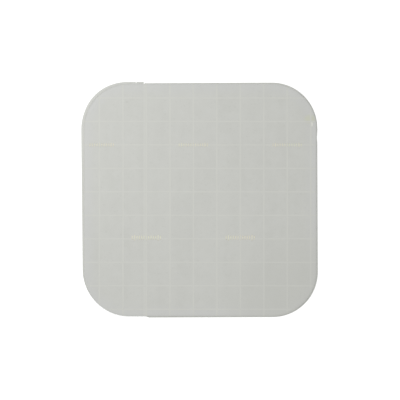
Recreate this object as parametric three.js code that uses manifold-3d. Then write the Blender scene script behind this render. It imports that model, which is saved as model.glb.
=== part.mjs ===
// A hydrocolloid wound dressing, 10 x 10 cm with rounded corners, lying flat with its film side up.
// Millimetres. +X runs to the right of the dressing, +Y to its top, and +Z up out of the film.
// The origin is the middle of the underside.
//
// From the bottom up the dressing is a laminate: a release liner in two pieces, the soft adhesive
// wafer, a thin backing film and a measuring grid printed on that film. The narrow piece of liner
// is folded back under itself along the split, which makes a lip to grip. The wafer takes up the
// doubled thickness in a shallow channel, and its rim is pressed down thin all round.

import * as THREE from "three";
import { mergeVertices } from "three/addons/utils/BufferGeometryUtils.js";
import Module from "manifold-3d";

const wasm = await Module();
wasm.setup();

// The die-cut outline of the release liner.
const dressingWidth = 100;
const dressingHeight = 100;
const cornerRadius = 20;
const cornerSteps = 24;

// The wafer and the film are cut this much smaller than the liner, all round.
const linerOverhang = 0.5;

// Thicknesses of the layers.
const linerThickness = 0.12;
const waferThickness = 0.8;
const filmThickness = 0.05;
const inkThickness = 0.02;

// The pressed rim: how thick the wafer is left at its edge, and how far in it swells to full.
const rimEdgeThickness = 0.5;
const rimWidth = 0.9;
const rimSteps = 6;

// The narrow piece of liner, from its left edge to the fold. It lies a little out to the left,
// up towards the top, and turned.
const stripWidth = 26.5;
const stripOut = 0.34;
const stripLift = 0.4;
const stripTurn = THREE.MathUtils.degToRad(0.4);

// The fold: a lip turned back under the strip, and the air kept inside the fold.
const lipWidth = 3.2;
const foldAir = 0.03;
const foldSteps = 8;

// The strip climbs over the end of its lip on a ramp that starts clear of it.
const lipClearance = 0.3;
const rampWidth = 1.2;
const rampSteps = 6;

// The split between the two pieces where it is narrowest, and how far past its widest stretch
// the wafer comes back down onto the wide piece.
const splitGap = 0.3;
const waferSettle = 0.4;

// Wear on the liner: a clipped corner beside the split, and a nick at the end of the lip.
const clipAlong = 1.2;
const clipDepth = 0.55;
const nickWidth = 0.5;
const nickDepth = 0.35;

// The printed measuring grid. Its first lines are measured from the left and the top edge.
const gridPitch = 10;
const gridLineWidth = 0.7;
const firstColumn = 7;
const firstRow = 6.5;
const edgeMargin = 1;

// Levels, from the surface that the dressing lies on.
const linerTop = linerThickness;
const waferEdgeTop = linerTop + rimEdgeThickness;
const waferTop = linerTop + waferThickness;
const stackTop = waferTop + filmThickness + inkThickness;

// The outline that the wafer, the film and the print share.
const waferWidth = dressingWidth - 2 * linerOverhang;
const waferHeight = dressingHeight - 2 * linerOverhang;
const waferRadius = cornerRadius - linerOverhang;

// Cutting solids reach this far past what they cut.
const past = 5;

// Points closer than this are one point.
const weldDistance = 1e-5;

// Colours and roughness of the plain finishes.
const linerFinish = { color: 0xc6c7c1, roughness: 0.45 };
const waferFinish = { color: 0xc3c4bc, roughness: 0.5 };
const filmFinish = { color: 0xc8c9c4, roughness: 0.35 };
const inkFinish = { color: 0xd2d1c2, roughness: 0.6 };

const left = -dressingWidth / 2;
const top = dressingHeight / 2;

// The fold stands at foldX before the strip is shifted and turned. Turning swings one end of it
// to the right by foldSwing, and the wide piece starts beyond that.
const foldX = left + stripWidth;
const foldSwing = top * Math.sin(stripTurn);
const wideLinerLeft = foldX - stripOut + foldSwing + splitGap;

// Where the narrow strip really lies: turned about its own middle and shifted.
const stripMiddle = left + stripWidth / 2;
const stripPlacement = new THREE.Matrix4()
  .makeTranslation(stripMiddle - stripOut, stripLift, 0)
  .multiply(new THREE.Matrix4().makeRotationZ(stripTurn))
  .multiply(new THREE.Matrix4().makeTranslation(-stripMiddle, 0, 0));

function solidOf(geometry) {
  const bare = geometry.clone();
  bare.deleteAttribute("normal");
  bare.deleteAttribute("uv");
  const merged = mergeVertices(bare, weldDistance);
  const mesh = new wasm.Mesh({
    numProp: 3,
    vertProperties: new Float32Array(merged.attributes.position.array),
    triVerts: new Uint32Array(merged.index.array),
  });
  mesh.merge();
  return new wasm.Manifold(mesh);
}

function geometryOf(solid) {
  const mesh = solid.getMesh();
  const geometry = new THREE.BufferGeometry();
  geometry.setAttribute("position", new THREE.BufferAttribute(mesh.vertProperties, 3));
  geometry.setIndex(new THREE.BufferAttribute(mesh.triVerts, 1));
  geometry.computeVertexNormals();
  return geometry;
}

// The points of a rounded rectangle drawn in from its edge, with as many points at every inset.
function roundedRing(width, height, radius, inset) {
  const ring = [];
  for (let corner = 0; corner < 4; corner += 1) {
    const toRight = corner === 0 || corner === 3 ? 1 : -1;
    const toTop = corner < 2 ? 1 : -1;
    for (let step = 0; step <= cornerSteps; step += 1) {
      const angle = (corner + step / cornerSteps) * (Math.PI / 2);
      ring.push(
        new THREE.Vector2(
          toRight * (width / 2 - radius) + (radius - inset) * Math.cos(angle),
          toTop * (height / 2 - radius) + (radius - inset) * Math.sin(angle),
        ),
      );
    }
  }
  return ring;
}

// A closed sheet of the wafer's outline. Each of its two faces is a set of rings, given by how far
// in from the edge each ring lies, and a rule for the height at that inset.
function sheetGeometry(under, over) {
  const positions = [];
  const triangles = [];
  const faces = [under, over].map(({ insets, heightAt }) => {
    const rings = insets.map((inset) => {
      const start = positions.length / 3;
      for (const point of roundedRing(waferWidth, waferHeight, waferRadius, inset)) {
        positions.push(point.x, point.y, heightAt(inset));
      }
      return start;
    });
    const middle = positions.length / 3;
    positions.push(0, 0, heightAt(insets[insets.length - 1]));
    return { rings, middle };
  });
  const count = 4 * (cornerSteps + 1);
  const band = (outer, inner) => {
    for (let i = 0; i < count; i += 1) {
      const next = (i + 1) % count;
      triangles.push(outer + i, outer + next, inner + next);
      triangles.push(outer + i, inner + next, inner + i);
    }
  };
  const [lower, upper] = faces;
  band(lower.rings[0], upper.rings[0]);
  for (let k = 1; k < upper.rings.length; k += 1) {
    band(upper.rings[k - 1], upper.rings[k]);
  }
  for (let k = 1; k < lower.rings.length; k += 1) {
    band(lower.rings[k], lower.rings[k - 1]);
  }
  const lastUpper = upper.rings[upper.rings.length - 1];
  const lastLower = lower.rings[lower.rings.length - 1];
  for (let i = 0; i < count; i += 1) {
    const next = (i + 1) % count;
    triangles.push(lastUpper + i, lastUpper + next, upper.middle);
    triangles.push(lastLower + next, lastLower + i, lower.middle);
  }
  const geometry = new THREE.BufferGeometry();
  geometry.setAttribute("position", new THREE.Float32BufferAttribute(positions, 3));
  geometry.setIndex(triangles);
  return geometry;
}

// The height of the wafer's upper face, a quarter wave from the thin edge up to the flat.
function waferUpperFace(inset) {
  const rise = Math.sin((Math.PI / 2) * Math.min(inset / rimWidth, 1));
  return waferEdgeTop + (waferThickness - rimEdgeThickness) * rise;
}

const rimInsets = Array.from({ length: rimSteps + 1 }, (_, k) => (rimWidth * k) / rimSteps);

// The liner's outline as a straight-sided block, for cutting pieces of liner out of.
function dieBlock(height) {
  const outline = new THREE.Shape(roundedRing(dressingWidth, dressingHeight, cornerRadius, 0));
  return new THREE.ExtrudeGeometry(outline, { depth: height, bevelEnabled: false });
}

// A long bar along Y with the given section, whose points are (x, z).
function barAlongY(section) {
  const length = dressingHeight + 2 * past;
  const bar = new THREE.ExtrudeGeometry(new THREE.Shape(section), {
    depth: length,
    bevelEnabled: false,
  });
  bar.rotateX(Math.PI / 2);
  bar.translate(0, length / 2, 0);
  return bar;
}

// The ramp on which the strip climbs over its own lip, as points of its underside.
function rampPoints() {
  const climb = linerThickness + foldAir;
  const rampEnd = foldX - lipWidth - lipClearance;
  const points = [];
  for (let k = 0; k <= rampSteps; k += 1) {
    const along = k / rampSteps;
    const eased = (1 - Math.cos(Math.PI * along)) / 2;
    points.push(new THREE.Vector2(rampEnd - rampWidth * (1 - along), climb * eased));
  }
  return points;
}

// The nose of the fold, as an arc from the upper leaf round to the lip.
function nosePoints(radius, centreHeight) {
  const outerRadius = linerThickness + foldAir / 2;
  const points = [];
  for (let k = 0; k <= foldSteps; k += 1) {
    const angle = Math.PI / 2 - (Math.PI * k) / foldSteps;
    points.push(
      new THREE.Vector2(
        foldX - outerRadius + radius * Math.cos(angle),
        centreHeight + radius * Math.sin(angle),
      ),
    );
  }
  return points;
}

const raised = (points) => points.map((p) => new THREE.Vector2(p.x, p.y + linerThickness));

// The section of the narrow strip: flat leaf, ramp, fold and the lip underneath.
function foldedSection() {
  const ramp = rampPoints();
  const noseHeight = linerThickness + foldAir / 2;
  const outerNose = nosePoints(linerThickness + foldAir / 2, noseHeight);
  const innerNose = nosePoints(foldAir / 2, noseHeight);
  const lipEnd = foldX - lipWidth;
  return [
    new THREE.Vector2(left - past, 0),
    ...ramp,
    ...innerNose,
    new THREE.Vector2(lipEnd, linerThickness),
    new THREE.Vector2(lipEnd, 0),
    ...outerNose.reverse(),
    ...raised(ramp).reverse(),
    new THREE.Vector2(left - past, linerThickness),
  ];
}

// The channel in the wafer's underside: the upper side of the raised leaf, the air over the
// split, and the slope on which the wafer comes back down to the wide piece of liner.
function channelSection() {
  const ramp = raised(rampPoints());
  const leafTop = ramp[ramp.length - 1].y;
  const airStart = foldX;
  const airEnd = foldX + splitGap + 2 * foldSwing + waferSettle;
  return [
    new THREE.Vector2(ramp[0].x, linerTop - past),
    ...ramp,
    new THREE.Vector2(airStart, leafTop),
    new THREE.Vector2(airEnd, linerTop),
    new THREE.Vector2(airEnd, linerTop - past),
  ];
}

function narrowLiner() {
  const nick = new THREE.BoxGeometry(nickWidth, 2 * nickDepth, past);
  nick.translate(foldX - lipWidth, top, 0);
  return geometryOf(
    solidOf(barAlongY(foldedSection()))
      .intersect(solidOf(dieBlock(past)))
      .subtract(solidOf(nick)),
  );
}

function wideLiner() {
  const cutWidth = wideLinerLeft - left + past;
  const removed = new THREE.BoxGeometry(cutWidth, dressingHeight + 2 * past, past);
  removed.translate(wideLinerLeft - cutWidth / 2, 0, 0);
  const corner = new THREE.Shape([
    new THREE.Vector2(wideLinerLeft - past, -top - past),
    new THREE.Vector2(wideLinerLeft + clipAlong, -top - past),
    new THREE.Vector2(wideLinerLeft + clipAlong, -top),
    new THREE.Vector2(wideLinerLeft, clipDepth - top),
    new THREE.Vector2(wideLinerLeft - past, clipDepth - top),
  ]);
  const clip = new THREE.ExtrudeGeometry(corner, { depth: past, bevelEnabled: false });
  clip.translate(0, 0, -past / 2);
  return geometryOf(
    solidOf(dieBlock(linerThickness)).subtract(solidOf(removed)).subtract(solidOf(clip)),
  );
}

function wafer() {
  const slab = sheetGeometry(
    { insets: [0], heightAt: () => linerTop },
    { insets: rimInsets, heightAt: waferUpperFace },
  );
  const channel = barAlongY(channelSection()).applyMatrix4(stripPlacement);
  return geometryOf(solidOf(slab).subtract(solidOf(channel)));
}

// A coat of even thickness over the wafer, lying on whatever coat is already there.
function coatOver(startsAt, thickness) {
  return sheetGeometry(
    { insets: rimInsets, heightAt: (inset) => waferUpperFace(inset) + startsAt },
    { insets: rimInsets, heightAt: (inset) => waferUpperFace(inset) + startsAt + thickness },
  );
}

// The places of the grid's lines along one side, leaving out any that would run off the edge.
function linePlaces(first, side) {
  const places = [];
  for (let place = first; place < side - edgeMargin; place += gridPitch) {
    places.push(place - side / 2);
  }
  return places;
}

function printedGrid() {
  const tall = 2 * stackTop + past;
  const lines = [
    ...linePlaces(firstColumn, dressingWidth).map((x) => {
      return new THREE.BoxGeometry(gridLineWidth, dressingHeight + past, tall).translate(x, 0, 0);
    }),
    ...linePlaces(firstRow, dressingHeight).map((y) => {
      return new THREE.BoxGeometry(dressingWidth + past, gridLineWidth, tall).translate(0, -y, 0);
    }),
  ];
  const lattice = lines.map(solidOf).reduce((joined, line) => joined.add(line));
  return geometryOf(solidOf(coatOver(filmThickness, inkThickness)).intersect(lattice));
}

function piece(name, geometry, finish) {
  const material = new THREE.MeshStandardMaterial({ ...finish, metalness: 0 });
  const mesh = new THREE.Mesh(geometry, material);
  mesh.name = name;
  return mesh;
}

const dressing = new THREE.Group();

const strip = piece("release_liner_strip", narrowLiner(), linerFinish);
strip.applyMatrix4(stripPlacement);
dressing.add(strip);

dressing.add(piece("release_liner_wide", wideLiner(), linerFinish));
dressing.add(piece("hydrocolloid_wafer", wafer(), waferFinish));
dressing.add(piece("backing_film", coatOver(0, filmThickness), filmFinish));
dressing.add(piece("printed_grid", printedGrid(), inkFinish));

export default dressing;
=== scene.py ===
# %% [markdown]
# # A hydrocolloid dressing, seen from straight above
#
# The dressing is a thin laminate: a release liner in two pieces, a soft grey-green adhesive
# wafer, a clear film, and a pale measuring grid printed on the film. The solids already have
# their real size and place, so this lesson only gives them their surfaces: the film and its
# print are made again as fine meshes that swell and ripple a little, the two pieces of liner
# lie a little out of true, and every layer gets a finish built from shader nodes.

# %% Load the frame
import math

import bpy
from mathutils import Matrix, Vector, noise


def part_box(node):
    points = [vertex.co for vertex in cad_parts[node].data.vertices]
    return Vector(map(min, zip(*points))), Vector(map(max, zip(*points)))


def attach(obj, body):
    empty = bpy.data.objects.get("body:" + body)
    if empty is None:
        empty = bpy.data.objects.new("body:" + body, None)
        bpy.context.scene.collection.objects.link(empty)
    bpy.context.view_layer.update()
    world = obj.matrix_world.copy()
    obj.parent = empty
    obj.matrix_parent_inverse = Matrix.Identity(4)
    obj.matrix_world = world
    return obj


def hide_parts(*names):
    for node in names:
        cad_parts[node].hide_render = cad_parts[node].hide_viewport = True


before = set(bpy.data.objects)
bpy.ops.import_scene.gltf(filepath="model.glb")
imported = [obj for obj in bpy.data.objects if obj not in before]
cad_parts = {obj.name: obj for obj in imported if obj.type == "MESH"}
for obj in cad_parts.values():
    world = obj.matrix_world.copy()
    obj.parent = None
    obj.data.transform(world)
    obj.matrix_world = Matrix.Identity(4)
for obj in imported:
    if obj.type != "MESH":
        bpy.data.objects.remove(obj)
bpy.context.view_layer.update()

# %% [markdown]
# ## Sizes
#
# Blender works in metres here, so millimetres are written as numbers times MM. The reach of
# the film comes from its own solid, and the few sizes that a box can't tell, such as the
# corner radius, are given as named values.

# %% Sizes of the layers
MM = 0.001

film_low, film_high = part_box("backing_film")
print_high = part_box("printed_grid")[1]
strip_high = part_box("release_liner_strip")[1]
wide_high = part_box("release_liner_wide")[1]

film_half = (film_high.x - film_low.x) / 2
film_corner = 19.1 * MM
film_thickness = 0.05 * MM
INK_SHARE = 0.4
ink_thickness = INK_SHARE * (print_high.z - film_high.z)
rim_width = 0.9 * MM
rim_drop = 0.3 * MM
straight_half = film_half - film_corner
print("the film reaches", round(film_half / MM, 2), "mm from the middle")

# %% [markdown]
# ## Places taken from the photograph
#
# A few marks are placed by the pixel at which the photograph shows them. One function turns
# a pixel into a place on the dressing, so that every mark is still written once and in one way.

# %% From a pixel to a place on the film
PIXELS_PER_METRE = 2348.0
PHOTO_MIDDLE = (200.35, 200.13)


def place_of(pixel_x, pixel_y):
    x = (pixel_x - PHOTO_MIDDLE[0]) / PIXELS_PER_METRE
    y = (PHOTO_MIDDLE[1] - pixel_y) / PIXELS_PER_METRE
    return x, y


# %% [markdown]
# ## The camera
#
# The photograph looks straight down. A long lens keeps the thin edges from showing on one
# side more than on the other, and its distance follows from the scale of the photograph.

# %% Camera
PHOTO_SIDE = 400
SENSOR_WIDTH = 36.0
LENS = 120.0
NEAREST_SEEN = 0.01

seen_width = PHOTO_SIDE / PIXELS_PER_METRE
camera_data = bpy.data.cameras.new("camera")
camera_data.sensor_width = SENSOR_WIDTH
camera_data.lens = LENS
camera_data.clip_start = NEAREST_SEEN
camera = bpy.data.objects.new("camera", camera_data)
camera_height = film_high.z + seen_width * LENS / SENSOR_WIDTH
camera.location = (*place_of(PHOTO_SIDE / 2, PHOTO_SIDE / 2), camera_height)
bpy.context.scene.collection.objects.link(camera)
bpy.context.scene.camera = camera
print("the camera hangs", round(camera.location.z, 3), "m above the floor")

# %% [markdown]
# ## The height of the film
#
# A sheet of film over a soft wafer is never quite flat. Its rim is pressed down, it stands a
# little proud over the fold of the liner, which runs slightly aslant, and it ripples. All of
# that is one rule, the height of the film at a place, and both the film and the ink that
# lies on it are built from the same rule, so that they can't drift apart.

# %% How far in from the cut edge a place is
def inset_at(x, y):
    over_x = abs(x) - straight_half
    over_y = abs(y) - straight_half
    outside = math.hypot(max(over_x, 0.0), max(over_y, 0.0))
    inside = min(max(over_x, over_y), 0.0)
    return film_corner - outside - inside


def eased(value):
    value = min(max(value, 0.0), 1.0)
    return value * value * (3.0 - 2.0 * value)


# %% The swelling over the fold, and the ripple
fold_inset = 0.35 * MM
fold_line = strip_high.x - fold_inset
fold_turn = math.radians(0.4)
fold_middle = 1.7 * MM
fold_reach = 3.2 * MM
fold_rise = 0.035 * MM
ripple_length = 9.0 * MM
ripple_rise = 0.012 * MM
RIPPLE_STRETCH = 1.6
FINE_RIPPLE_SCALE = 2.3
FINE_RIPPLE_SHARE = 0.5
calm_rim = 4.0 * MM


def fold_swelling(x, y):
    away = x - (fold_line - fold_middle - math.tan(fold_turn) * y)
    return fold_rise * eased(1.0 - abs(away) / fold_reach)


def ripple(x, y):
    spot = Vector((x / ripple_length, y / (RIPPLE_STRETCH * ripple_length), 0.0))
    fine = FINE_RIPPLE_SHARE * noise.noise(spot * FINE_RIPPLE_SCALE)
    return ripple_rise * (noise.noise(spot) + fine)


def pressed_rim(inset):
    """How far the film is pressed down near its edge."""
    along_rim = min(max(inset / rim_width, 0.0), 1.0)
    return rim_drop * (1.0 - math.sin(math.pi / 2 * along_rim))


def film_height(x, y):
    inset = inset_at(x, y)
    relief = (fold_swelling(x, y) + ripple(x, y)) * eased(inset / calm_rim)
    return film_high.z - pressed_rim(inset) + relief


print("the film stands", round((film_height(0, 0) - film_low.z) / MM, 3), "mm over its own rim")

# %% [markdown]
# ## The film
#
# The mesh is a set of rings. Near the edge they follow the outline at a fixed inset, close
# together where the rim curves, and further in they shrink towards the middle. A second,
# plain set of rings a film's thickness lower closes it, because a thin sheet is still a
# solid and its edge has to catch the light.

# %% A helper that makes an object from points and faces
def new_piece(name, points, faces, smooth=True):
    mesh = bpy.data.meshes.new(name)
    mesh.from_pydata(points, [], faces)
    mesh.validate()
    mesh.polygons.foreach_set("use_smooth", [smooth] * len(mesh.polygons))
    mesh.update()
    piece = bpy.data.objects.new(name, mesh)
    bpy.context.scene.collection.objects.link(piece)
    print(name, "has", len(mesh.polygons), "faces")
    return piece


# %% Rings of the rounded square
CORNER_STEPS = 30
SIDE_STEPS = 40
RIM_RINGS = 10
INNER_RINGS = 46


def outline_ring(inset):
    radius = film_corner - inset
    ring = []
    for corner in range(4):
        angle_start = corner * math.pi / 2
        centre = (
            straight_half * (1 if corner in (0, 3) else -1),
            straight_half * (1 if corner in (0, 1) else -1),
        )
        for step in range(CORNER_STEPS + 1):
            angle = angle_start + step / CORNER_STEPS * math.pi / 2
            ring.append((centre[0] + radius * math.cos(angle), centre[1] + radius * math.sin(angle)))
        run = (-math.sin(angle_start + math.pi / 2), math.cos(angle_start + math.pi / 2))
        last = ring[-1]
        for step in range(1, SIDE_STEPS):
            along = 2 * straight_half * step / SIDE_STEPS
            ring.append((last[0] + run[0] * along, last[1] + run[1] * along))
    return ring


def film_rings():
    rings = [outline_ring(rim_width * k / RIM_RINGS) for k in range(RIM_RINGS + 1)]
    innermost = rings[-1]
    for k in range(1, INNER_RINGS):
        share = 1.0 - k / INNER_RINGS
        rings.append([(x * share, y * share) for x, y in innermost])
    return rings


# %% Close two sets of rings into a sheet
def ring_sheet(name, rings, upper_height, lower_height):
    count = len(rings[0])
    points = []
    faces = []
    starts = {}
    for side, height in (("upper", upper_height), ("lower", lower_height)):
        starts[side] = []
        for ring in rings:
            starts[side].append(len(points))
            points.extend((x, y, height(x, y)) for x, y in ring)
        starts[side].append(len(points))
        points.append((0.0, 0.0, height(0.0, 0.0)))
    for i in range(count):
        j = (i + 1) % count
        for side, order in (("upper", 1), ("lower", -1)):
            for outer, inner in zip(starts[side][:-2], starts[side][1:-1]):
                faces.append((outer + i, outer + j, inner + j, inner + i)[::order])
            last, middle = starts[side][-2:]
            faces.append((last + i, last + j, middle)[::order])
        low, high = starts["lower"][0], starts["upper"][0]
        faces.append((low + i, low + j, high + j, high + i))
    return new_piece(name, points, faces)


# %% Make the film
under_film = 0.004 * MM


def film_underside(x, y):
    return film_high.z - film_thickness + under_film - pressed_rim(inset_at(x, y))


film = ring_sheet("film_sheet", film_rings(), film_height, film_underside)
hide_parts("backing_film")
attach(film, "root")

# %% [markdown]
# ## The wide piece of the liner
#
# In the photograph the wide piece lies a quarter of a degree askew, its right edge bulges and
# dips a little, and the corner beside the split is clipped. The sheet is as thick as the solid,
# and its cut edges are slightly rounded, as paper is where a blade has pressed it down.

# %% The outline of the wide piece
wide_turn = math.radians(0.25)
wide_left = -23.61 * MM
liner_half = wide_high.x
liner_corner = 19.3 * MM
clip_along = 1.55 * MM
clip_depth = 0.6 * MM
LINER_ARC_STEPS = 32
LINER_EDGE_STEPS = 90
EDGE_MARKS = (
    {"at": place_of(0, 129)[1], "long": 2.0 * MM, "out": 0.1 * MM},
    {"at": place_of(0, 138)[1], "long": 2.2 * MM, "out": -0.2 * MM},
)


def edge_mark(y):
    """How far the right edge bulges out or dips in at a height."""
    return sum(mark["out"] * eased(1.0 - abs(y - mark["at"]) / mark["long"]) for mark in EDGE_MARKS)


def wide_outline(trim):
    """The outline, anticlockwise from the lower left, drawn in by the trim."""
    half, radius = liner_half - trim, liner_corner - trim
    straight = half - radius
    left = wide_left + trim
    points = [(left + clip_along, -half)]
    for centre_y, angle_start in ((-straight, -math.pi / 2), (straight, 0.0)):
        for step in range(LINER_ARC_STEPS + 1):
            angle = angle_start + step / LINER_ARC_STEPS * math.pi / 2
            points.append((straight + radius * math.cos(angle), centre_y + radius * math.sin(angle)))
        if centre_y < 0:
            for step in range(1, LINER_EDGE_STEPS):
                y = -straight + 2 * straight * step / LINER_EDGE_STEPS
                if edge_mark(y):
                    points.append((half + edge_mark(y), y))
    points += [(left, half), (left, -half + clip_depth)]
    turned = []
    for x, y in points:
        turned.append((
            x * math.cos(wide_turn) - y * math.sin(wide_turn),
            x * math.sin(wide_turn) + y * math.cos(wide_turn),
        ))
    return turned


# %% Make the sheet with rounded edges
# The section of the edge, from below: how far in from the outline, and how high, in millimetres.
LINER_EDGE = ((0.03, 0.0), (0.0, 0.025), (0.0, 0.085), (0.012, 0.11), (0.04, 0.12))


def liner_sheet(name):
    points, faces, rings = [], [], []
    for trim, height in LINER_EDGE:
        outline = wide_outline(trim * MM)
        rings.append(range(len(points), len(points) + len(outline)))
        points += [(x, y, height * MM) for x, y in outline]
    count = len(rings[0])
    for lower, upper in zip(rings[:-1], rings[1:]):
        for i in range(count):
            j = (i + 1) % count
            faces.append((lower[i], lower[j], upper[j], upper[i]))
    faces.append(tuple(reversed(rings[0])))
    faces.append(tuple(rings[-1]))
    return new_piece(name, points, faces, smooth=False)


wide_sheet = liner_sheet("liner_wide_sheet")
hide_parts("release_liner_wide")
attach(wide_sheet, "root")

# %% [markdown]
# ## The narrow piece of the liner
#
# The narrow piece keeps the points and faces of its solid, with the fold and the nick. The
# photograph shows it a little out of true at the left, so it is pulled there: each pull moves
# the points near a place by a fraction of a millimetre and fades out with the distance.

# %% Pull the narrow piece out of true
STRIP_PULLS = (
    {"at": (-50.0 * MM, 0.0), "reach": 60.0 * MM, "by": (-0.18 * MM, 0.0)},
    {"at": (-44.0 * MM, 44.0 * MM), "reach": 18.0 * MM, "by": (-0.22 * MM, 0.3 * MM)},
    {"at": (-50.0 * MM, 27.0 * MM), "reach": 12.0 * MM, "by": (-0.2 * MM, 0.0)},
)


def pulled(point):
    x, y = point.x, point.y
    for pull in STRIP_PULLS:
        away = math.hypot(point.x - pull["at"][0], point.y - pull["at"][1])
        share = eased(1.0 - away / pull["reach"])
        x += share * pull["by"][0]
        y += share * pull["by"][1]
    return x, y, point.z


strip_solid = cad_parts["release_liner_strip"]
strip_sheet = new_piece(
    "liner_strip_sheet",
    [pulled(strip_solid.matrix_world @ vertex.co) for vertex in strip_solid.data.vertices],
    [tuple(face.vertices) for face in strip_solid.data.polygons],
    smooth=False,
)
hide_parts("release_liner_strip")
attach(strip_sheet, "root")

# %% [markdown]
# ## The printed grid
#
# Each printed line is a low ribbon that follows the film down over its rim. Its section is a
# shallow arch, because ink heaps up in the middle of a line and thins out at its edges. The
# first lines and the pitch are the ones of the solid that the ribbons replace, and the upright
# lines are printed a little wider than the ones across.

# %% Where the lines run
grid_pitch = 10.0 * MM
column_width = 0.85 * MM
row_width = 0.7 * MM
first_column = -43.0 * MM
first_row = 43.5 * MM
LINE_COUNT = 10

columns = [first_column + k * grid_pitch for k in range(LINE_COUNT)]
rows = [first_row - k * grid_pitch for k in range(LINE_COUNT)]


def reach_at(across):
    """How far the film reaches along a line that lies this far from the middle."""
    over = max(abs(across) - straight_half, 0.0)
    return straight_half + math.sqrt(max(film_corner**2 - over**2, 0.0))


# %% A ribbon of ink that follows the film
RIBBON_SECTION = ((-1.0, 0.0), (-0.75, 0.7), (-0.3, 1.0), (0.3, 1.0), (0.75, 0.7), (1.0, 0.0))
RIBBON_STEP = 0.8 * MM
RIM_STOPS = (0.0, 0.12, 0.28, 0.48, 0.72, 1.0)
rim_run = 1.2 * rim_width
ink_root = 0.015 * MM


def ribbon(start_share, end_share, across, width, thickness, along_x):
    """Points and faces of one ribbon, between two shares of the film's reach."""
    shortest = min(reach_at(across - width / 2), reach_at(across + width / 2))
    stops = []
    if start_share <= -1.0:
        stops += [-shortest + stop * rim_run for stop in RIM_STOPS]
    else:
        stops.append(start_share * shortest)
    end = shortest - rim_run if end_share >= 1.0 else end_share * shortest
    steps = max(1, round((end - stops[-1]) / RIBBON_STEP))
    begin = stops[-1]
    stops += [begin + (end - begin) * k / steps for k in range(1, steps + 1)]
    if end_share >= 1.0:
        stops += [shortest - stop * rim_run for stop in reversed(RIM_STOPS[:-1])]
    points = []
    for stop in stops:
        for share, swell in RIBBON_SECTION:
            side = across + share * width / 2
            along = stop / shortest * reach_at(side)
            x, y = (along, side) if along_x else (side, along)
            points.append((x, y, film_height(x, y) - ink_root + swell * (thickness + ink_root)))
    size = len(RIBBON_SECTION)
    faces = []
    for k in range(len(stops) - 1):
        for m in range(size):
            n = (m + 1) % size
            a, b = k * size + m, k * size + n
            faces.append((a, b, b + size, a + size))
    faces.append(tuple(reversed(range(size))))
    faces.append(tuple((len(stops) - 1) * size + m for m in range(size)))
    if along_x:
        faces = [face[::-1] for face in faces]
    return points, faces


def joined(parts):
    points, faces = [], []
    for part_points, part_faces in parts:
        offset = len(points)
        points += part_points
        faces += [tuple(index + offset for index in face) for face in part_faces]
    return points, faces


# %% Print the lines
ROW_THINNER = 0.85

column_ribbons = [ribbon(-1.0, 1.0, x, column_width, ink_thickness, False) for x in columns]
row_ribbons = [
    ribbon(-1.0, 1.0, y, row_width, ink_thickness * ROW_THINNER, True) for y in rows
]
grid_print = new_piece("grid_print", *joined(column_ribbons + row_ribbons))
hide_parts("printed_grid")
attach(grid_print, "root")

# %% [markdown]
# ## Tick marks
#
# At every fourth crossing the photograph shows a short faint band of print. It is replaced
# by plain measuring ticks, short upright bars along the line, one each millimetre and every
# fifth one taller, which have the same length, colour and weight from a step away. The lower
# bands are taller and start two columns further along.

# %% Print the ticks
TICK_EVERY = 4
tick_pitch = 1.0 * MM
tick_width = 0.62 * MM
tick_band = 6.5 * MM
tick_thickness = 1.2 * ink_thickness
tick_margin = 2 * rim_width
TALL_TICK_EVERY = 5
TALL_TICK_SHARE = 1.4
TICK_ROWS = (
    {"row": 2, "first": 0, "tall": 1.2 * MM, "raised": 0.0},
    {"row": 6, "first": 2, "tall": 1.75 * MM, "raised": 0.5 * MM},
)


def tick(x, y, tall):
    reach = reach_at(x)
    start, end = (y - tall / 2) / reach, (y + tall / 2) / reach
    return ribbon(start, end, x, tick_width, tick_thickness, False)


def tick_band_at(x_middle, y, tall):
    steps = math.floor(tick_band / tick_pitch)
    found = []
    for k in range(-steps, steps + 1):
        x = x_middle + k * tick_pitch
        share = TALL_TICK_SHARE if k % TALL_TICK_EVERY == 0 else 1.0
        if inset_at(x, y) > tick_margin:
            found.append(tick(x, y, share * tall))
    return found


bands = []
for band in TICK_ROWS:
    y = rows[band["row"]] + band["raised"]
    for column_index in range(band["first"], LINE_COUNT, TICK_EVERY):
        bands += tick_band_at(columns[column_index], y, band["tall"])
ticks = new_piece("tick_print", *joined(bands))
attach(ticks, "root")

# %% [markdown]
# ## Shader groups
#
# Several finishes need the same effects: how far a point is from the cut edge, a soft spot,
# the mottling of a gel, and the fine skin that a roller leaves on film and paper. Each is
# a node group that is built once and placed in a material with values of its own. The
# groups only put out values, and the shader itself stays in the material.

# %% Small helpers for node trees
class Tree:
    """Adds nodes to a tree and links them, with the values given by socket name."""

    def __init__(self, nodes_owner):
        self.nodes = nodes_owner.nodes
        self.links = nodes_owner.links

    def add(self, kind, **values):
        node = self.nodes.new(kind)
        for key, value in values.items():
            self.feed(node, key.replace("_", " "), value)
        return node

    def feed(self, node, key, value):
        socket = node.inputs[int(key)] if key.isdigit() else node.inputs[key]
        if isinstance(value, bpy.types.NodeSocket):
            self.links.new(value, socket)
        else:
            socket.default_value = value

    def maths(self, operation, first, second=0.0, third=None):
        node = self.nodes.new("ShaderNodeMath")
        node.operation = operation
        self.feed(node, "0", first)
        self.feed(node, "1", second)
        if third is not None:
            self.feed(node, "2", third)
        return node.outputs[0]

    def blend(self, share, first, second):
        node = self.nodes.new("ShaderNodeMix")
        node.data_type = "RGBA"
        self.feed(node, "0", share)
        self.feed(node, "6", first)
        self.feed(node, "7", second)
        return node.outputs[2]

    def ramp(self, value, low, high):
        node = self.nodes.new("ShaderNodeMapRange")
        node.interpolation_type = "SMOOTHSTEP"
        self.feed(node, "Value", value)
        self.feed(node, "From Min", low)
        self.feed(node, "From Max", high)
        return node.outputs["Result"]


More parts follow.
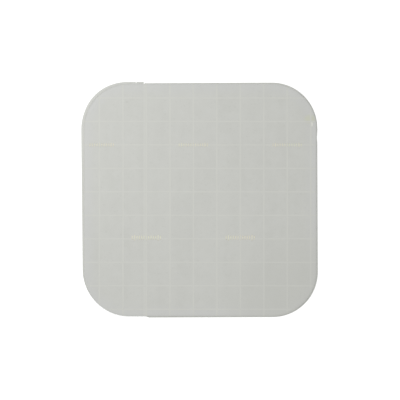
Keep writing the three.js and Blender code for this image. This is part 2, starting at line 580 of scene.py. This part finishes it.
def new_group(name, inputs, outputs):
    group = bpy.data.node_groups.new(name, "ShaderNodeTree")
    for socket_name, default in inputs.items():
        socket = group.interface.new_socket(socket_name, in_out="INPUT", socket_type="NodeSocketFloat")
        socket.default_value = default
    for socket_name in outputs:
        group.interface.new_socket(socket_name, in_out="OUTPUT", socket_type="NodeSocketFloat")
    tree = Tree(group)
    return group, tree, tree.add("NodeGroupInput"), tree.add("NodeGroupOutput")


# %% Group one: the distance from the cut edge
edge_group, tree, given, result = new_group(
    "distance from the cut edge", {"Half Side": film_half, "Corner": film_corner}, ["Inset"]
)
place = tree.add("ShaderNodeTexCoord").outputs["Object"]
split = tree.add("ShaderNodeSeparateXYZ", Vector=place)
flat_half = tree.maths("SUBTRACT", given.outputs["Half Side"], given.outputs["Corner"])
over_x = tree.maths("SUBTRACT", tree.maths("ABSOLUTE", split.outputs["X"]), flat_half)
over_y = tree.maths("SUBTRACT", tree.maths("ABSOLUTE", split.outputs["Y"]), flat_half)
past_x = tree.maths("MAXIMUM", over_x, 0.0)
past_y = tree.maths("MAXIMUM", over_y, 0.0)
square_x = tree.maths("MULTIPLY", past_x, past_x)
square_y = tree.maths("MULTIPLY", past_y, past_y)
outside = tree.maths("SQRT", tree.maths("ADD", square_x, square_y))
inside = tree.maths("MINIMUM", tree.maths("MAXIMUM", over_x, over_y), 0.0)
inset = tree.maths("SUBTRACT", tree.maths("SUBTRACT", given.outputs["Corner"], outside), inside)
tree.feed(result, "Inset", inset)
print(edge_group.name, "has", len(edge_group.nodes), "nodes")

# %% Group two: a soft spot at a place
# A spot is full within its core, a share of its half size, and fades out from there.
SPOT_CORE = 0.35

spot_group, tree, given, result = new_group(
    "soft spot", {"X": 0.0, "Y": 0.0, "Wide": MM, "Tall": MM}, ["Mask"]
)
place = tree.add("ShaderNodeTexCoord").outputs["Object"]
split = tree.add("ShaderNodeSeparateXYZ", Vector=place)
shares = []
for axis, size in (("X", "Wide"), ("Y", "Tall")):
    away = tree.maths("SUBTRACT", split.outputs[axis], given.outputs[axis])
    share = tree.maths("DIVIDE", away, given.outputs[size])
    shares.append(tree.maths("MULTIPLY", share, share))
distance = tree.maths("SQRT", tree.maths("ADD", *shares))
tree.feed(result, "Mask", tree.ramp(distance, 1.0, SPOT_CORE))
print(spot_group.name, "has", len(spot_group.nodes), "nodes")

# %% Group three: the mottling of the gel
CLOUD_RANGE = (0.3, 0.7)
SPECK_RANGE = (0.28, 0.12)

mottle_group, tree, given, result = new_group(
    "gel mottling", {"Cloud Scale": 60.0, "Speck Scale": 420.0}, ["Cloud", "Grain", "Specks"]
)
place = tree.add("ShaderNodeTexCoord").outputs["Object"]
cloud = tree.add(
    "ShaderNodeTexNoise", Vector=place, Scale=given.outputs["Cloud Scale"], Detail=4.0, Roughness=0.6
)
grain = tree.add(
    "ShaderNodeTexNoise", Vector=place, Scale=given.outputs["Speck Scale"], Detail=3.0, Roughness=0.7
)
cells = tree.add(
    "ShaderNodeTexVoronoi", Vector=place, Scale=given.outputs["Speck Scale"], Randomness=1.0
)
tree.feed(result, "Cloud", tree.ramp(cloud.outputs["Fac"], *CLOUD_RANGE))
tree.feed(result, "Grain", grain.outputs["Fac"])
tree.feed(result, "Specks", tree.ramp(cells.outputs["Distance"], *SPECK_RANGE))
print(mottle_group.name, "has", len(mottle_group.nodes), "nodes")

# %% Group four: the skin that a roller leaves
STREAK_SQUEEZE = (1.0, 0.12, 1.0)
STREAK_SHARE = 0.6
STREAK_RANGE = (0.35, 0.65)

skin_group, tree, given, result = new_group(
    "roller skin", {"Streak Scale": 150.0, "Pit Scale": 1400.0}, ["Height", "Dullness"]
)
place = tree.add("ShaderNodeTexCoord").outputs["Object"]
drawn = tree.add("ShaderNodeMapping", Vector=place, Scale=STREAK_SQUEEZE)
streaks = tree.add(
    "ShaderNodeTexNoise",
    Vector=drawn.outputs["Vector"],
    Scale=given.outputs["Streak Scale"],
    Detail=3.0,
    Roughness=0.55,
)
pits = tree.add(
    "ShaderNodeTexNoise", Vector=place, Scale=given.outputs["Pit Scale"], Detail=2.0, Roughness=0.5
)
height = tree.maths("MULTIPLY_ADD", streaks.outputs["Fac"], STREAK_SHARE, pits.outputs["Fac"])
tree.feed(result, "Height", height)
tree.feed(result, "Dullness", tree.ramp(streaks.outputs["Fac"], *STREAK_RANGE))
print(skin_group.name, "has", len(skin_group.nodes), "nodes")

# %% [markdown]
# ## Finishes
#
# Colours are written as the camera should see them and turned into linear light by one
# function. The light is at a plain level, so a colour renders about as it is written.

# %% Start a material
def seen_colour(red, green, blue):
    """An sRGB colour, from 0 to 255, as the linear colour that a shader takes."""
    linear = []
    for level in (red, green, blue):
        share = level / 255
        linear.append(share / 12.92 if share <= 0.04045 else ((share + 0.055) / 1.055) ** 2.4)
    return (*linear, 1.0)


def new_material(name):
    material = bpy.data.materials.new(name)
    material.use_nodes = True
    tree = Tree(material.node_tree)
    shader = tree.nodes["Principled BSDF"]
    return material, tree, shader


def place_group(tree, group, **values):
    node = tree.nodes.new("ShaderNodeGroup")
    node.node_tree = group
    for key, value in values.items():
        tree.feed(node, key.replace("_", " "), value)
    return node


def tinted(tree, tone, mask, share, colour):
    """The tone, taken towards a colour by a share of a mask."""
    return tree.blend(tree.maths("MULTIPLY", mask, share), tone, seen_colour(*colour))


def give_roughness(tree, shader, pattern, least, spread):
    """Roughness that rises from the least by the spread where a pattern is strong."""
    tree.feed(shader, "Roughness", tree.maths("MULTIPLY_ADD", pattern, spread, least))


def give_bump(tree, shader, height, strength, depth):
    """Bump from a height pattern, with its depth in millimetres."""
    bump = tree.add("ShaderNodeBump", Strength=strength, Distance=depth * MM, Height=height)
    tree.feed(shader, "Normal", bump.outputs["Normal"])


# %% [markdown]
# ### The satin film
#
# The film is clear but satin and bonded to the gel without air between them, so the eye sees
# one surface: the gel's tone with the film's shine on it. Clouds, smudges and fine streaks in
# the gel shift the tone a little. On top of that come marks painted into the colour. A painted
# shade darkens it towards the lower right, where the light falls off. Along the fold of the
# liner, a painted highlight runs as a pale line, with a painted shade as a darker line beside it.
# This one piece also has a fleck, a yellowish stain and a small bright blot.

# %% Marks that the photograph shows, painted shade and a painted highlight among them
# Place and half sizes of a painted shade that darkens the lower right, where the lamp's light falls
# off.
SHADE_CORNER_PIXEL = (316.0, 310.0)
SHADE_CORNER_REACH = (48.0, 44.0)
WHOLE_HEIGHT = 150.0


def mark(pixel, half_sizes, share, colour):
    """A soft spot at a pixel of the photograph, with its half width and height in millimetres."""
    x, y = place_of(*pixel)
    wide, tall = half_sizes
    return {"X": x, "Y": y, "Wide": wide * MM, "Tall": tall * MM}, share, colour


def marked(tree, tone, marks):
    for place, share, colour in marks:
        spot = place_group(tree, spot_group, **place)
        tone = tinted(tree, tone, spot.outputs["Mask"], share, colour)
    return tone


FILM_MARKS_AND_PAINTED_LIGHT = (
    # painted shade towards the lower right
    mark(SHADE_CORNER_PIXEL, SHADE_CORNER_REACH, 0.6, (192, 193, 187)),
    # painted shade as a darker line beside the fold of the liner, then a painted highlight as a pale
    # line over it; the fleck, stain and blot after them are the film's own
    mark((142.3, 200.0), (0.7, WHOLE_HEIGHT), 0.25, (196, 197, 191)),
    mark((144.7, 200.0), (0.9, WHOLE_HEIGHT), 0.5, (204, 205, 199)),
    mark((126.8, 102.0), (0.9, 0.6), 0.9, (192, 193, 187)),
    mark((310.0, 119.0), (3.3, 2.5), 0.8, (198, 200, 182)),
    mark((311.8, 124.2), (0.55, 1.4), 0.95, (221, 222, 214)),
)
# The ink gets the same painted shade towards the lower right.
INK_PAINTED_SHADE = (mark(SHADE_CORNER_PIXEL, SHADE_CORNER_REACH, 0.6, (197, 198, 192)),)

# %% Film finish
border_reach = 6.0 * MM
border_full = 0.5 * MM

film_material, tree, shader = new_material("satin film")
mottle = place_group(tree, mottle_group, Cloud_Scale=150.0, Speck_Scale=520.0)
smudges = place_group(tree, mottle_group, Cloud_Scale=330.0, Speck_Scale=240.0)
skin = place_group(tree, skin_group, Streak_Scale=170.0, Pit_Scale=1500.0)
edge = place_group(tree, edge_group)
tone = tree.blend(
    mottle.outputs["Cloud"], seen_colour(197, 198, 193), seen_colour(200, 201, 196)
)
tone = tinted(tree, tone, smudges.outputs["Cloud"], 0.45, (194, 195, 189))
tone = tinted(tree, tone, skin.outputs["Dullness"], 0.4, (202, 203, 198))
tone = tinted(tree, tone, mottle.outputs["Specks"], 0.1, (170, 171, 164))
border = tree.ramp(edge.outputs["Inset"], border_reach, border_full)
tone = tinted(tree, tone, border, 0.5, (200, 201, 200))
# the film's colour takes the painted shade and highlight along with its own fleck, stain and blot
tree.feed(shader, "Base Color", marked(tree, tone, FILM_MARKS_AND_PAINTED_LIGHT))
give_roughness(tree, shader, skin.outputs["Dullness"], least=0.42, spread=0.08)
give_bump(tree, shader, skin.outputs["Height"], strength=0.25, depth=0.02)
shader.inputs["IOR"].default_value = 1.45
film.data.materials.append(film_material)

# %% [markdown]
# ### The adhesive wafer
#
# The wafer is a rubbery gel full of fine powder grains. Subsurface scattering lets light
# bleed through its thin edge, and the grains show as specks a shade darker.

# %% Wafer finish
wafer_material, tree, shader = new_material("adhesive gel")
mottle = place_group(tree, mottle_group, Cloud_Scale=60.0, Speck_Scale=900.0)
tone = tree.blend(
    mottle.outputs["Cloud"], seen_colour(194, 196, 188), seen_colour(201, 202, 196)
)
tone = tinted(tree, tone, mottle.outputs["Specks"], 0.25, (165, 165, 154))
tree.feed(shader, "Base Color", tone)
give_roughness(tree, shader, mottle.outputs["Grain"], least=0.35, spread=0.2)
give_bump(tree, shader, mottle.outputs["Grain"], strength=0.3, depth=0.03)
shader.inputs["Subsurface Weight"].default_value = 0.25
shader.inputs["Subsurface Scale"].default_value = 0.6 * MM
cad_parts["hydrocolloid_wafer"].data.materials.clear()
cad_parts["hydrocolloid_wafer"].data.materials.append(wafer_material)

# %% [markdown]
# ### The release liner
#
# The liner is siliconised paper: smooth and dull, with long faint streaks from the roller and
# a few darker specks.

# %% Liner finish
liner_material, tree, shader = new_material("siliconised liner")
skin = place_group(tree, skin_group, Streak_Scale=220.0, Pit_Scale=2600.0)
mottle = place_group(tree, mottle_group, Cloud_Scale=120.0, Speck_Scale=1500.0)
tone = tree.blend(
    skin.outputs["Dullness"], seen_colour(202, 203, 198), seen_colour(207, 208, 203)
)
tone = tinted(tree, tone, mottle.outputs["Specks"], 0.15, (178, 177, 168))
tree.feed(shader, "Base Color", tone)
give_roughness(tree, shader, skin.outputs["Dullness"], least=0.38, spread=0.12)
give_bump(tree, shader, skin.outputs["Height"], strength=0.35, depth=0.02)
for liner in (strip_sheet, wide_sheet):
    liner.data.materials.append(liner_material)

# %% [markdown]
# ### The ink
#
# The ink is a pale yellowish white and very thin, so it covers unevenly: noise fades it
# towards the colour of the film in patches. The ticks use a stronger yellow of the same ink.

# %% Ink finishes
def ink_finish(name, patch_scale, strong, faded):
    material, tree, shader = new_material(name)
    mottle = place_group(tree, mottle_group, Cloud_Scale=patch_scale, Speck_Scale=1200.0)
    tone = tree.blend(mottle.outputs["Cloud"], seen_colour(*faded), seen_colour(*strong))
    tone = tinted(tree, tone, mottle.outputs["Specks"], 0.3, faded)
    # the ink's colour takes the painted shade towards the lower right
    tree.feed(shader, "Base Color", marked(tree, tone, INK_PAINTED_SHADE))
    give_roughness(tree, shader, mottle.outputs["Grain"], least=0.45, spread=0.2)
    give_bump(tree, shader, mottle.outputs["Grain"], strength=0.3, depth=0.01)
    return material


grid_print.data.materials.append(
    ink_finish("pale grid ink", 160.0, strong=(203, 204, 198), faded=(201, 202, 196))
)
ticks.data.materials.append(
    ink_finish("yellow tick ink", 70.0, strong=(215, 210, 193), faded=(214, 216, 196))
)

# %% [markdown]
# ## Floor and light
#
# The photograph has a plain white background. The floor is white and adds a little light of
# its own to camera rays, so that it reads as white and still keeps a trace of the shadow. A
# soft lamp hangs close by to the upper left, because the photograph is brightest there and
# falls off towards the lower right. An even world gives the rest of the light.

# %% Which rays see the white background
def sees_background(tree):
    path = tree.add("ShaderNodeLightPath")
    seen = tree.maths("MAXIMUM", path.outputs["Is Camera Ray"], path.outputs["Is Glossy Ray"])
    return tree.maths("MAXIMUM", seen, path.outputs["Is Transmission Ray"])


# %% Floor
FLOOR_HALF = 3.0
FLOOR_WHITE = 0.9
FLOOR_GLOW = 0.35
floor_depth = 0.01 * MM

floor = new_piece(
    "floor",
    [(x * FLOOR_HALF, y * FLOOR_HALF, 0.0) for x, y in ((-1, -1), (1, -1), (1, 1), (-1, 1))],
    [(0, 1, 2, 3)],
    smooth=False,
)
floor.location.z = -floor_depth
floor_material, tree, shader = new_material("white floor")
shader.inputs["Base Color"].default_value = (FLOOR_WHITE, FLOOR_WHITE, FLOOR_WHITE, 1.0)
shader.inputs["Roughness"].default_value = 0.9
shader.inputs["Specular IOR Level"].default_value = 0.0
shader.inputs["Emission Color"].default_value = (1.0, 1.0, 1.0, 1.0)
tree.feed(
    shader, "Emission Strength", tree.maths("MULTIPLY", sees_background(tree), FLOOR_GLOW)
)
floor.data.materials.append(floor_material)

# %% World
AMBIENT = 0.795
world = bpy.data.worlds.new("studio")
world.use_nodes = True
bpy.context.scene.world = world
tree = Tree(world.node_tree)
strength = tree.maths("MULTIPLY_ADD", sees_background(tree), 1.0 - AMBIENT, AMBIENT)
tree.feed(tree.nodes["Background"], "Color", (1.0, 1.0, 1.0, 1.0))
tree.feed(tree.nodes["Background"], "Strength", strength)

# %% Lamp
LAMP_PLACE = Vector((-0.097, 0.058, 0.168))
LAMP_WATTS = 0.088
LAMP_SIDE = 0.12

lamp_data = bpy.data.lights.new("window", "AREA")
lamp_data.energy = LAMP_WATTS
lamp_data.size = LAMP_SIDE
lamp = bpy.data.objects.new("window", lamp_data)
lamp.location = LAMP_PLACE
lamp.rotation_euler = (-LAMP_PLACE).to_track_quat("-Z", "Y").to_euler()
bpy.context.scene.collection.objects.link(lamp)

# %% Colour management
bpy.context.scene.view_settings.view_transform = "Standard"
